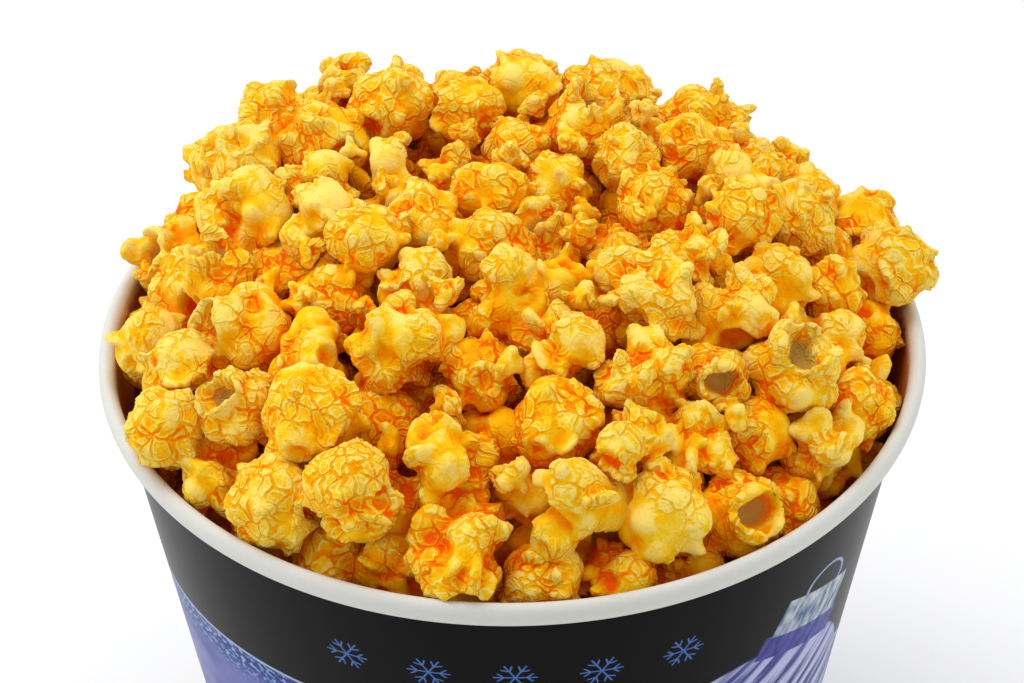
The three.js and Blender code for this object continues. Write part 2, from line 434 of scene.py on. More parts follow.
# ---- crackled skin, for both shape and colour
def crackle(tree, place, calm):
    """The crackled skin at a place: its height, how much of a groove, of a plate's raised rim and of a fine
    wrinkle is there, and how crumpled it is. Calm is how smooth the flake has stayed, from 0 to 1."""
    sway = add(tree, "ShaderNodeTexNoise", {"Vector": place, "Scale": 0.5 / PLATE, "Detail": 2.0})
    shift = add(tree, "ShaderNodeVectorMath", [sway.outputs["Color"], (0.5, 0.5, 0.5)], operation="SUBTRACT")
    reach = [1.9 * PLATE] * 3
    bent = add(tree, "ShaderNodeVectorMath", [shift, reach, place], operation="MULTIPLY_ADD")
    cells = {"Vector": bent, "Scale": 1 / PLATE}
    plates = add(tree, "ShaderNodeTexVoronoi", cells, feature="DISTANCE_TO_EDGE")
    # Parts of each flake have stayed smooth, and of some flakes nearly all
    quiet = add(tree, "ShaderNodeTexNoise", {"Vector": place, "Scale": 0.33 / PLATE, "Detail": 1.0})
    quiet = add(tree, "ShaderNodeMath", [calm, -0.2, quiet], operation="MULTIPLY_ADD")
    crumpled = add(tree, "ShaderNodeMapRange", [quiet, 0.3, 0.46], interpolation_type="SMOOTHSTEP")
    groove = add(tree, "ShaderNodeMapRange", [plates, 0.01, 0.12, 1, 0], interpolation_type="SMOOTHSTEP")
    shallow = add(tree, "ShaderNodeMath", [crumpled, 0.75, 0.25], operation="MULTIPLY_ADD")
    groove = add(tree, "ShaderNodeMath", [groove, shallow], operation="MULTIPLY")
    outer = add(tree, "ShaderNodeMapRange", [plates, 0.07, 0.13], interpolation_type="SMOOTHSTEP")
    inner = add(tree, "ShaderNodeMapRange", [plates, 0.14, 0.25, 1, 0], interpolation_type="SMOOTHSTEP")
    rim = add(tree, "ShaderNodeMath", [outer, inner], operation="MULTIPLY")
    rim = add(tree, "ShaderNodeMath", [rim, crumpled], operation="MULTIPLY")
    # Fine wrinkles are the level lines of a noise, which run in loops side by side
    waves = add(tree, "ShaderNodeTexNoise", {"Vector": bent, "Scale": 0.6 / CRUMPLE, "Detail": 1.5})
    waves = add(tree, "ShaderNodeMath", [waves, 4.0], operation="MULTIPLY")
    waves = add(tree, "ShaderNodeMath", [waves, 0.5], operation="PINGPONG")
    fine = add(tree, "ShaderNodeMapRange", [waves, 0.1, 0.45], interpolation_type="SMOOTHSTEP")
    fine = add(tree, "ShaderNodeMath", [fine, shallow], operation="MULTIPLY")
    height = add(tree, "ShaderNodeMath", [groove, -0.5, 0.5], operation="MULTIPLY_ADD")
    height = add(tree, "ShaderNodeMath", [rim, 0.5, height], operation="MULTIPLY_ADD")
    height = add(tree, "ShaderNodeMath", [fine, 0.3, height], operation="MULTIPLY_ADD")
    return height, groove, rim, fine, crumpled


def scatter_tree():
    """Sets a flake on each point, realizes them and crackles their skin."""
    tree = bpy.data.node_groups.new("popcorn flakes", "GeometryNodeTree")
    for name, kind in (
        ("Points", "NodeSocketGeometry"),
        ("Shapes", "NodeSocketCollection"),
        ("Relief", "NodeSocketFloat"),
        ("Lumps", "NodeSocketFloat"),
        ("Skin", "NodeSocketMaterial"),
    ):
        tree.interface.new_socket(name, in_out="INPUT", socket_type=kind)
    tree.interface.new_socket("Flakes", in_out="OUTPUT", socket_type="NodeSocketGeometry")
    given = add(tree, "NodeGroupInput").outputs
    turn = add(tree, "GeometryNodeInputNamedAttribute", {"Name": "turn"}, data_type="FLOAT_VECTOR")
    size = add(tree, "GeometryNodeInputNamedAttribute", {"Name": "size"}, data_type="FLOAT_VECTOR")
    shape = add(tree, "GeometryNodeInputNamedAttribute", {"Name": "shape"}, data_type="INT")
    calm = add(tree, "GeometryNodeInputNamedAttribute", {"Name": "calm"}, data_type="FLOAT")
    hull = add(tree, "GeometryNodeInputNamedAttribute", {"Name": "hull"}, data_type="FLOAT")
    instance = {
        "Points": given["Points"],
        "Instance": add(tree, "GeometryNodeCollectionInfo", [given["Shapes"], True, True]),
        "Pick Instance": True,
        "Instance Index": shape,
        "Rotation": add(tree, "FunctionNodeEulerToRotation", [turn]),
        "Scale": size,
    }
    flakes = add(tree, "GeometryNodeRealizeInstances", [add(tree, "GeometryNodeInstanceOnPoints", instance)])
    place = add(tree, "GeometryNodeInputPosition")
    # The skin's colour follows the same crackle, so it needs the places from before the skin is moved
    grain = {"Geometry": flakes, "Name": "grain", "Value": place}
    kept = add(tree, "GeometryNodeStoreNamedAttribute", grain, data_type="FLOAT_VECTOR", domain="POINT")
    height = crackle(tree, place, calm)[0]
    lumps = add(tree, "ShaderNodeTexNoise", {"Vector": place, "Scale": 0.5 / PLATE, "Detail": 1.0})
    lump = add(tree, "ShaderNodeMath", [lumps, 0.5], operation="SUBTRACT")
    lump = add(tree, "ShaderNodeMath", [lump, given["Lumps"]], operation="MULTIPLY")
    rise = add(tree, "ShaderNodeMath", [height, 0.55], operation="SUBTRACT")
    rise = add(tree, "ShaderNodeMath", [rise, given["Relief"], lump], operation="MULTIPLY_ADD")
    smooth_hull = add(tree, "ShaderNodeMath", [1.0, hull], operation="SUBTRACT")
    rise = add(tree, "ShaderNodeMath", [rise, smooth_hull], operation="MULTIPLY")
    away = {0: add(tree, "GeometryNodeInputNormal"), "Scale": rise}
    away = add(tree, "ShaderNodeVectorMath", away, operation="SCALE")
    moved = add(tree, "GeometryNodeSetPosition", {"Geometry": kept, "Offset": away})
    soft = add(tree, "GeometryNodeSetShadeSmooth", {"Geometry": moved})
    add(tree, "NodeGroupOutput", [add(tree, "GeometryNodeSetMaterial", {0: soft, "Material": given["Skin"]})])
    return tree


def set_inputs(modifier, values):
    """Sets a modifier's inputs by the names of its tree's sockets."""
    for item in modifier.node_group.interface.items_tree:
        if item.item_type == "SOCKET" and item.in_out == "INPUT" and item.name in values:
            modifier[item.identifier] = values[item.name]


def heap_piece(name, tree, points, shapes, skin):
    """One piece of popcorn: a flake on each point. A point is (place, size, turn, shape, tone, calm)."""
    mesh = bpy.data.meshes.new(name)
    mesh.from_pydata([point[0] for point in points], [], [])
    for column, (attribute, kind, field) in enumerate(
        (
            ("size", "FLOAT_VECTOR", "vector"),
            ("turn", "FLOAT_VECTOR", "vector"),
            ("shape", "INT", "value"),
            ("tone", "FLOAT", "value"),
            ("calm", "FLOAT", "value"),
        ),
        start=1,
    ):
        values = np.array([point[column] for point in points]).ravel()
        mesh.attributes.new(attribute, kind, "POINT").data.foreach_set(field, values)
    piece = bpy.data.objects.new(name, mesh)
    bpy.context.scene.collection.objects.link(piece)
    modifier = piece.modifiers.new("flakes", "NODES")
    modifier.node_group = tree
    set_inputs(modifier, {"Shapes": shapes, "Relief": RELIEF, "Lumps": LUMPS, "Skin": skin})
    piece.data = evaluated_mesh(piece)
    piece.modifiers.clear()
    keep_in_bucket(piece.data)
    return piece


def keep_in_bucket(mesh):
    """Presses flakes back out of the wall and the rolled rim, and notes how deep in the heap they lie."""
    places = np.zeros(len(mesh.vertices) * 3)
    mesh.vertices.foreach_get("co", places)
    x, y, z = places.reshape(-1, 3).T.copy()
    out = np.hypot(x, y)
    wide, tall = ROLL_WIDTH / 2 + SEAT_GAP, ROLL_TALL / 2 + SEAT_GAP
    on_roll = (out > ROLL_RADIUS) & (z > ROLL_HEIGHT - tall)
    roll_top = ROLL_HEIGHT + tall * np.sqrt(np.clip(1 - ((out - ROLL_RADIUS) / wide) ** 2, 0, None))
    z = np.where(on_roll, np.maximum(z, roll_top), z)
    beside_roll = ROLL_RADIUS - wide * np.sqrt(np.clip(1 - ((z - ROLL_HEIGHT) / tall) ** 2, 0, None))
    limit = np.where(z < ROLL_HEIGHT, inner_at(z) - SEAT_GAP, beside_roll)
    inwards = np.where((z < ROLL_HEIGHT + tall) & ~on_roll, np.minimum(1, limit / np.maximum(out, MM)), 1)
    x, y = x * inwards, y * inwards
    mesh.vertices.foreach_set("co", np.stack([x, y, z], axis=1).ravel())
    # How deep in the heap each place lies: the skin's colour darkens with it as painted shade
    deep = np.clip((HEIGHT + heap_level(x, y) - z - 7 * MM) / (22 * MM), 0, 1)
    mesh.attributes.new("deep", "FLOAT", "POINT").data.foreach_set("value", deep)
    mesh.update()


# ---- materials
def puffed_corn():
    """Puffed corn tossed in cheese powder: matt, pale yellow where the skin stands up, orange where powder
    has gathered in its grooves and folds, with painted shade deepening the folds and the flakes deep in the
    heap to red-orange, and tan where the smooth hull shows."""
    material, tree, surface = new_material("Puffed_Corn")
    surface.inputs["Specular IOR Level"].default_value = 0.05
    place = add(tree, "ShaderNodeAttribute", attribute_name="grain").outputs["Vector"]
    tone = add(tree, "ShaderNodeAttribute", attribute_name="tone").outputs["Fac"]
    calm = add(tree, "ShaderNodeAttribute", attribute_name="calm").outputs["Fac"]
    hull = add(tree, "ShaderNodeAttribute", attribute_name="hull").outputs["Fac"]
    fold = add(tree, "ShaderNodeAttribute", attribute_name="fold").outputs["Fac"]
    deep = add(tree, "ShaderNodeAttribute", attribute_name="deep").outputs["Fac"]
    height, groove, rim, fine, crumpled = crackle(tree, place, calm)
    # The skin is paler the higher it lies on the heap
    high = add(tree, "ShaderNodeSeparateXYZ", [place]).outputs["Z"]
    paler_higher = add(tree, "ShaderNodeMapRange", [high, HEIGHT, HEIGHT + 45 * MM])
    patches = add(tree, "ShaderNodeTexNoise", {"Vector": place, "Scale": 1 / (6 * MM), "Detail": 4.0})
    powder = add(tree, "ShaderNodeTexNoise", {"Vector": place, "Scale": 1 / (0.8 * MM), "Detail": 3.0})
    # How clean of powder the skin is, from 0 in the deepest folds to 1; the folds and the depth in the heap
    # also lower it as painted shade
    clean_and_lit = add(tree, "ShaderNodeMapRange", [patches, 0.34, 0.7, 0.4, 0.77], interpolation_type="SMOOTHSTEP")
    freckles = add(tree, "ShaderNodeMapRange", [powder, 0.58, 0.7], interpolation_type="SMOOTHSTEP")
    # Fold and deep darken the skin towards red-orange as painted shade in creases and between and under the
    # flakes; fold also marks where powder gathers
    parts = ((groove, -0.33), (rim, 0.36), (fine, 0.24), (crumpled, -0.2), (fold, -0.6), (powder, 0.5))
    for part, share in parts + ((freckles, -0.3), (tone, 0.24), (deep, -0.45), (paler_higher, 0.2)):
        clean_and_lit = add(tree, "ShaderNodeMath", [part, share, clean_and_lit], operation="MULTIPLY_ADD")
    ramp = add(tree, "ShaderNodeValToRGB", [clean_and_lit])
    stops = ramp.color_ramp.elements
    stops[0].position, stops[0].color = 0.0, linear("#FA6400")
    stops[1].position, stops[1].color = 1.0, linear("#FADC6C")
    for position, colour in ((0.2, "#FC8C00"), (0.38, "#FCA400"), (0.56, "#FBB800"), (0.78, "#F8C91C")):
        stops.new(position).color = linear(colour)
    shell = {0: patches, 6: linear("#D2A440"), 7: linear("#A88A48")}
    shell = add(tree, "ShaderNodeMix", shell, data_type="RGBA")
    colour = add(tree, "ShaderNodeMix", {0: hull, 6: ramp, 7: shell}, data_type="RGBA")
    tree.links.new(colour.outputs[2], surface.inputs["Base Color"])
    rough = add(tree, "ShaderNodeMath", [hull, -0.25, 0.6], operation="MULTIPLY_ADD")
    tree.links.new(rough.outputs[0], surface.inputs["Roughness"])
    grainy = add(tree, "ShaderNodeMath", [powder, 0.25, height], operation="MULTIPLY_ADD")
    bump = add(tree, "ShaderNodeBump", {"Strength": 0.65, "Distance": 0.6 * MM, "Height": grainy})
    tree.links.new(bump.outputs[0], surface.inputs["Normal"])
    return material


def heap_inside():
    """The popcorn too deep to be seen as flakes: the same corn, orange with powder and darker than the flakes
    as painted shade.
    """
    material, tree, surface = new_material("Puffed_Corn_Shaded")
    place = add(tree, "ShaderNodeTexCoord").outputs["Object"]
    height, groove, _, fine, _ = crackle(tree, place, 0.3)
    share = add(tree, "ShaderNodeMath", [groove, -0.6, fine], operation="MULTIPLY_ADD")
    # Both oranges are darker than the flakes' skin: painted shade for the gaps between flakes
    colour = {0: share, 6: linear("#C84E00"), 7: linear("#F0800A")}
    colour = add(tree, "ShaderNodeMix", colour, data_type="RGBA")
    tree.links.new(colour.outputs[2], surface.inputs["Base Color"])
    surface.inputs["Roughness"].default_value = 0.75
    surface.inputs["Specular IOR Level"].default_value = 0.1
    bump = add(tree, "ShaderNodeBump", {"Strength": 0.6, "Distance": 0.6 * MM, "Height": height})
    tree.links.new(bump.outputs[0], surface.inputs["Normal"])
    return material


def bare_board():
    """Uncoated side of the cup stock: off-white, matt, with faint fibres."""
    material, tree, surface = new_material("Cup_Stock_Board")
    place = add(tree, "ShaderNodeTexCoord").outputs["Object"]
    fibres = add(tree, "ShaderNodeTexNoise", {"Vector": place, "Scale": 1 / (1.5 * MM), "Detail": 4.0})
    colour = {0: fibres, 6: linear("#D0D0C8"), 7: linear("#DADAD3")}
    colour = add(tree, "ShaderNodeMix", colour, data_type="RGBA")
    tree.links.new(colour.outputs[2], surface.inputs["Base Color"])
    surface.inputs["Roughness"].default_value = 0.6
    bump = add(tree, "ShaderNodeBump", {"Strength": 0.15, "Distance": 0.1 * MM, "Height": fibres})
    tree.links.new(bump.outputs[0], surface.inputs["Normal"])
    return material


class Print:
    """Inks laid over each other on the unrolled wall. Places are millimetres round from the front and up from
    the foot, along the slanted wall."""

    def __init__(self, tree, ground):
        self.tree = tree
        self.unrolled = add(tree, "ShaderNodeUVMap", uv_map="unrolled")
        self.colour = linear(ground)

    def about(self, middle, size, tilt=0.0):
        """The unrolled places measured from a middle, along tilted axes, in sizes."""
        place = {
            "Vector": self.unrolled,
            "Location": (middle[0] * MM, middle[1] * MM, 0),
            "Rotation": (0, 0, tilt),
            "Scale": (size[0] * MM, size[1] * MM, 1),
        }
        return add(self.tree, "ShaderNodeMapping", place, vector_type="TEXTURE")

    def grains(self, size, low, high, tilt=0.0, detail=2.0):
        """Grains of a given width and height: 0 where their noise is low, 1 where it is high."""
        noise = {"Vector": self.about((0, 0), size, tilt), "Scale": 1.0, "Detail": detail}
        noise = add(self.tree, "ShaderNodeTexNoise", noise)
        return add(self.tree, "ShaderNodeMapRange", [noise, low, high])

    def lay(self, ink, *fields):
        """Lays an ink on as far as its fields allow: a colour, or a share and the two colours it mixes."""
        if isinstance(ink, str):
            ink = linear(ink)
        else:
            inks = {0: ink[0], 6: linear(ink[1]), 7: linear(ink[2])}
            ink = add(self.tree, "ShaderNodeMix", inks, data_type="RGBA")
        field = fields[0]
        for other in fields[1:]:
            field = add(self.tree, "ShaderNodeMath", [field, other], operation="MULTIPLY")
        self.colour = add(self.tree, "ShaderNodeMix", {0: field, 6: self.colour, 7: ink}, data_type="RGBA")

    def ellipse(self, middle, size, tilt=0.0, blur=0.02):
        """How far a place is from an ellipse's middle, in radii, and whether that is inside it."""
        away = add(self.tree, "ShaderNodeVectorMath", [self.about(middle, size, tilt)], operation="LENGTH")
        limits = [away, 1 - blur, 1, 1, 0]
        return away, add(self.tree, "ShaderNodeMapRange", limits, interpolation_type="SMOOTHSTEP")

    def frosted_drift(self, middle, size):
        """A wide violet rise with glitter along its edge and a pale line round it."""
        away, body = self.ellipse(middle, size, blur=0.004)
        self.lay((self.grains((34, 24), 0.35, 0.65), "#3F478F", "#7277B4"), body)
        reach = [away, 0.72, 0.93, 0, 0.85]
        frost = add(self.tree, "ShaderNodeMapRange", reach, interpolation_type="SMOOTHSTEP")
        self.lay("#1B2C72", body, frost)
        self.lay("#8FB2E6", body, frost, self.grains((1.9, 1.5), 0.5, 0.62))
        line = add(self.tree, "ShaderNodeMapRange", [away, 0.975, 0.99], interpolation_type="SMOOTHSTEP")
        self.lay("#9FB0CC", body, line)

    def hung_bauble(self, middle, tilt, radius):
        """A streaked glass bauble; its middle is that of its silver cap, which a wire ring hangs it by."""
        up = (math.sin(tilt), math.cos(tilt))
        globe = [m - u * (radius + 8) for m, u in zip(middle, up)]
        away, body = self.ellipse(globe, (radius, radius))
        streaks = self.grains((3.6, 34), 0.42, 0.58, -1.0, 3.0)
        self.lay((streaks, "#2E2E76", "#BAC2E0"), body)
        shade = add(self.tree, "ShaderNodeMapRange", [away, 0.6, 1.0, 0.0, 0.3])
        self.lay("#6C74B4", body, shade)
        wire = [m + u * 7.5 for m, u in zip(middle, up)]
        away, inside = self.ellipse(wire, (9.5, 7), -tilt, 0.04)
        hole = add(self.tree, "ShaderNodeMapRange", [away, 0.84, 0.88], interpolation_type="SMOOTHSTEP")
        self.lay("#8FA3CC", inside, hole)
        folds = self.grains((2.4, 6), 0.36, 0.64, -tilt, 3.0)
        band, cap = ("#2E2E78", "#5456A6"), ("#4E6588", "#BCC6CC")
        for drop, size, inks in ((9.5, (radius * 0.33, 4.2), band), (0, (16.5, 6.2), cap)):
            spot = [m - u * drop for m, u in zip(middle, up)]
            box = self.about(spot, size, -tilt)
            box = add(self.tree, "ShaderNodeVectorMath", [box], operation="ABSOLUTE")
            sides = add(self.tree, "ShaderNodeSeparateXYZ", [box]).outputs
            edge = add(self.tree, "ShaderNodeMath", [sides[0], sides[1]], operation="MAXIMUM")
            field = [edge, 0.95, 1, 1, 0]
            field = add(self.tree, "ShaderNodeMapRange", field, interpolation_type="SMOOTHSTEP")
            self.lay((folds, *inks), field)

    def snow(self, middle, size, pitch, field):
        """Snow crystals in rows a pitch apart, where the field allows them."""
        tree = self.tree
        half = (pitch[0] * MM / 2, pitch[1] * MM / 2, 1)
        wrapped = [self.about(middle, (1000, 1000)), half, [-h for h in half]]
        place = add(tree, "ShaderNodeVectorMath", wrapped, operation="WRAP")
        split = add(tree, "ShaderNodeSeparateXYZ", [place]).outputs
        out = add(tree, "ShaderNodeVectorMath", [place], operation="LENGTH")
        # All six arms are folded onto one, and both halves of it
        angle = add(tree, "ShaderNodeMath", [split[1], split[0]], operation="ARCTAN2")
        angle = add(tree, "ShaderNodeMath", [angle, math.pi / 6], operation="PINGPONG")
        share = add(tree, "ShaderNodeMath", [angle], operation="COSINE")
        along = add(tree, "ShaderNodeMath", [out, share], operation="MULTIPLY")
        share = add(tree, "ShaderNodeMath", [angle], operation="SINE")
        aside = add(tree, "ShaderNodeMath", [out, share], operation="MULTIPLY")
        slant = add(tree, "ShaderNodeMath", [along, aside], operation="SUBTRACT")
        slant = add(tree, "ShaderNodeMath", [slant, 0.5 * size * MM], operation="SUBTRACT")
        slant = add(tree, "ShaderNodeMath", [slant], operation="ABSOLUTE")
        blur = 0.15 * MM
        for value, edge, other, other_edge in (
            (aside, 0.3 * MM, along, size * MM),
            (slant, 0.4 * MM, aside, 0.3 * size * MM),
        ):
            near = add(tree, "ShaderNodeMapRange", [value, edge - blur, edge, 1, 0])
            within = add(tree, "ShaderNodeMapRange", [other, other_edge - blur, other_edge, 1, 0])
            self.lay("#4A6EB0", near, within, field)


def printed_board(slant, curl):
    """Cup stock, glazed and printed outside in near black with blue baubles and snow, so it shines softly;
    bare and off-white on the rim, and orange-brown inside towards the popcorn: partly its powder, partly
    painted shade and orange bounce light."""
    material, tree, surface = new_material("Printed_Cup_Stock")
    ink = Print(tree, "#0B0A09")
    across, up = add(tree, "ShaderNodeSeparateXYZ", [ink.unrolled]).outputs[:2]
    round_front = add(tree, "ShaderNodeMath", [across], operation="ABSOLUTE")
    above_row = add(tree, "ShaderNodeMapRange", [up, 165 * MM, 166 * MM])
    front = add(tree, "ShaderNodeMapRange", [round_front, 51 * MM, 52 * MM, 1, 0])
    front = add(tree, "ShaderNodeMath", [front, above_row], operation="MULTIPLY")
    ink.snow((0, 177), 5.4, (20.6, 400), front)
    away = add(tree, "ShaderNodeMapRange", [round_front, 128 * MM, 129 * MM])
    ink.snow((8, 170), 6.2, (200 * math.pi / 15, 37), away)
    ink.frosted_drift((-40, 99), (178, 58))
    ink.frosted_drift((215, 80), (88, 54))
    ink.hung_bauble((87, 163.5), math.radians(22), 58)
    ink.hung_bauble((-228, 150), math.radians(-14), 36)
    ink.hung_bauble((182, 132), math.radians(8), 30)
    place = add(tree, "ShaderNodeTexCoord").outputs["Object"]
    fibres = add(tree, "ShaderNodeTexNoise", {"Vector": place, "Scale": 1 / (1.5 * MM), "Detail": 4.0})
    board = {0: fibres, 6: linear("#D2D2CB"), 7: linear("#DADAD4")}
    board = add(tree, "ShaderNodeMix", board, data_type="RGBA")
    # Inside, the board turns orange-brown below the curl: partly the powder that the popcorn has rubbed off,
    # partly painted shade and orange bounce light from the heap
    depth = add(tree, "ShaderNodeMath", [up, slant + curl], operation="SUBTRACT")
    depth = add(tree, "ShaderNodeMath", [fibres, 5 * MM, depth], operation="MULTIPLY_ADD")
    dust_and_shade = [depth, 0.5 * MM, 6 * MM, 0, 0.96]
    dust_and_shade = add(tree, "ShaderNodeMapRange", dust_and_shade, interpolation_type="SMOOTHSTEP")
    board = add(tree, "ShaderNodeMix", {0: dust_and_shade, 6: board, 7: linear("#C06E0A")}, data_type="RGBA")
    outside = add(tree, "ShaderNodeMapRange", [up, slant - 0.5 * MM, slant - 0.2 * MM, 1, 0])
    colour = add(tree, "ShaderNodeMix", {0: outside, 6: board, 7: ink.colour}, data_type="RGBA")
    tree.links.new(colour.outputs[2], surface.inputs["Base Color"])
    rough = add(tree, "ShaderNodeMath", [outside, -0.2, 0.5], operation="MULTIPLY_ADD")
    tree.links.new(rough.outputs[0], surface.inputs["Roughness"])
    surface.inputs["IOR"].default_value = 1.12
    bump = add(tree, "ShaderNodeBump", {"Strength": 0.1, "Distance": 0.1 * MM, "Height": fibres})
    tree.links.new(bump.outputs[0], surface.inputs["Normal"])
    return material


# ---- the bucket
def turned(name, profile, segments, strain=None):
    """A closed profile of (radius, height) turned round +Z, with an unrolled UV map: metres round from the
    front, and metres along the profile from its first point."""
    profile = np.array(profile)
    steps = np.linalg.norm(np.diff(profile, axis=0, append=profile[:1]), axis=1)
    run = np.concatenate([[0], np.cumsum(steps)])
    count = len(profile)
    angles = np.linspace(-math.pi, math.pi, segments, endpoint=False)
    places = []
    for angle in angles:
        for k, (radius, z) in enumerate(profile):
            radius = radius + (strain(k, angle, z) if strain else 0)
            places.append((radius * math.sin(angle), -radius * math.cos(angle), z))
    faces, corners = [], []
    step = 2 * math.pi / segments
    for i, angle in enumerate(angles):
        for k in range(count):
            after, on = (i + 1) % segments, (k + 1) % count
            faces.append((i * count + k, after * count + k, after * count + on, i * count + on))
            left, right = angle * UNROLL_RADIUS, (angle + step) * UNROLL_RADIUS
            corners += [(left, run[k]), (right, run[k]), (right, run[k + 1]), (left, run[k + 1])]
    mesh = bpy.data.meshes.new(name)
    mesh.from_pydata(places, [], faces)
    mesh.uv_layers.new(name="unrolled").data.foreach_set("uv", np.array(corners).ravel())
    mesh.polygons.foreach_set("use_smooth", [True] * len(faces))
    piece = bpy.data.objects.new(name, mesh)
    bpy.context.scene.collection.objects.link(piece)
    return piece


def roll_arc(under, start, end, steps):
    """Points of an arc of the roll's oval section, some way under its skin."""
    wide, tall = ROLL_WIDTH / 2 - under, ROLL_TALL / 2 - under
    angles = np.radians(np.linspace(start, end, steps + 1))
    return [(ROLL_RADIUS + wide * math.cos(a), ROLL_HEIGHT + tall * math.sin(a)) for a in angles]


def bucket_wall():
    """The wall: from its foot up the outside, back inside the curl and out round it, and down the inside to
    the hem."""
    inner_arc = roll_arc(BOARD, 165, -130, 20)
    outer_arc = roll_arc(0, -130, 180, 40)
    heights = np.linspace(0, inner_arc[0][1], 30)[:-1]
    outside = [(inner_at(z) + BOARD, z) for z in heights]
    inside = [(inner_at(z), z) for z in np.linspace(ROLL_HEIGHT, BOARD, 30)[1:]]
    hem = inner_at(0) - BOARD - 2 * SEAT_GAP
    lift = TAPER * HEM_HEIGHT
    foot = [(hem, BOARD), (hem + lift, HEM_HEIGHT), (hem + lift - BOARD, HEM_HEIGHT), (hem - BOARD, 0)]
    profile = outside + inner_arc + outer_arc + inside + foot
    slant = float(np.linalg.norm(np.subtract(inner_arc[0], outside[0])))
    arcs = (np.diff(arc, axis=0) for arc in (inner_arc, outer_arc))
    curl = float(sum(np.linalg.norm(steps, axis=1).sum() for steps in arcs)) + BOARD

    def strain(k, angle, z):
        """The slight waves that a load puts in a paper wall, and the overlap of its side seam at the back."""
        if k >= len(outside):
            return 0
        wave = WAVE * math.sin(3 * angle + 0.7) * math.sin(math.pi * min(1, z / HEIGHT))
        back = (math.pi - abs(angle)) * inner_at(z)
        return wave + SEAM_RISE * min(1, max(0, (SEAM_WIDTH / 2 - back) / BOARD))

    wall = turned("bucket_wall", profile, 288, strain)
    wall.data.materials.append(printed_board(slant, curl))
    return wall


def bucket_base():
    """The base: a disc, slightly sunk in the middle, with its skirt turned down behind the hem."""
    top, under = base_high.z, base_high.z - BOARD
    skirt = inner_at(0) - SEAT_GAP
    foot = base_low.z
    disc = [(0.001 * MM + r, BASE_SAG * (1 - (r / skirt) ** 2)) for r in np.linspace(0, skirt - 2 * MM, 12)]
    lower = [(r, under - d) for r, d in disc]
    upper = [(r, top - d) for r, d in reversed(disc)]
    lift = TAPER * under
    profile = lower + [
        (skirt - BOARD + lift, under),
        (skirt - BOARD + TAPER * foot, foot),
        (skirt + TAPER * foot, foot),
        (skirt + lift, top),
    ] + upper
    base = turned("bucket_base", profile[::-1], 96)
    base.data.materials.append(bare_board())
    return base


def heap_core(skin):
    """What fills the bucket under the flakes: a solid whose lumpy top lies as deep as three flakes."""
    rings, round_about = 40, 96
    low = base_high.z + 1 * MM
    deep, deeper_at_wall = 34 * MM, 10 * MM
    places = [(0, 0, HEIGHT + heap_level(0, 0) - deep)]
    for ring in range(1, rings + 1):
        radius = 0.93 * MOUTH * ring / rings
        for k in range(round_about):
            angle = 2 * math.pi * k / round_about
            x, y = radius * math.cos(angle), radius * math.sin(angle)
            places.append((x, y, HEIGHT + heap_level(x, y) - deep - deeper_at_wall * ring / rings))
    for k in range(round_about):
        angle = 2 * math.pi * k / round_about
        radius = inner_at(low) - 2 * MM
        places.append((radius * math.cos(angle), radius * math.sin(angle), low))
    places.append((0, 0, low))
    faces = [(0, 1 + k, 1 + (k + 1) % round_about) for k in range(round_about)]
    for ring in range(rings):
        first = 1 + ring * round_about
        for k in range(round_about):
            on = (k + 1) % round_about
            faces.append((first + k, first + round_about + k, first + round_about + on, first + on))
    last = 1 + rings * round_about
    faces += [(last + k, len(places) - 1, last + (k + 1) % round_about) for k in range(round_about)]
    mesh = bpy.data.meshes.new("popcorn_core")
    mesh.from_pydata(places, [], faces)
    mesh.polygons.foreach_set("use_smooth", [True] * len(faces))
    piece = bpy.data.objects.new("popcorn_core", mesh)
    bpy.context.scene.collection.objects.link(piece)
    texture = bpy.data.textures.new("flake lumps", "VORONOI")
    texture.noise_scale = 16 * MM
    relief = piece.modifiers.new("lumps", "DISPLACE")
    relief.texture = texture
    relief.strength = -9 * MM
    relief.mid_level = 0.2
    group = piece.vertex_groups.new(name="top")
    group.add(list(range(1 + (rings - 1) * round_about)), 1.0, "REPLACE")
    relief.vertex_group = "top"
    piece.data = evaluated_mesh(piece)
    piece.modifiers.clear()
    piece.data.materials.append(skin)
    return piece


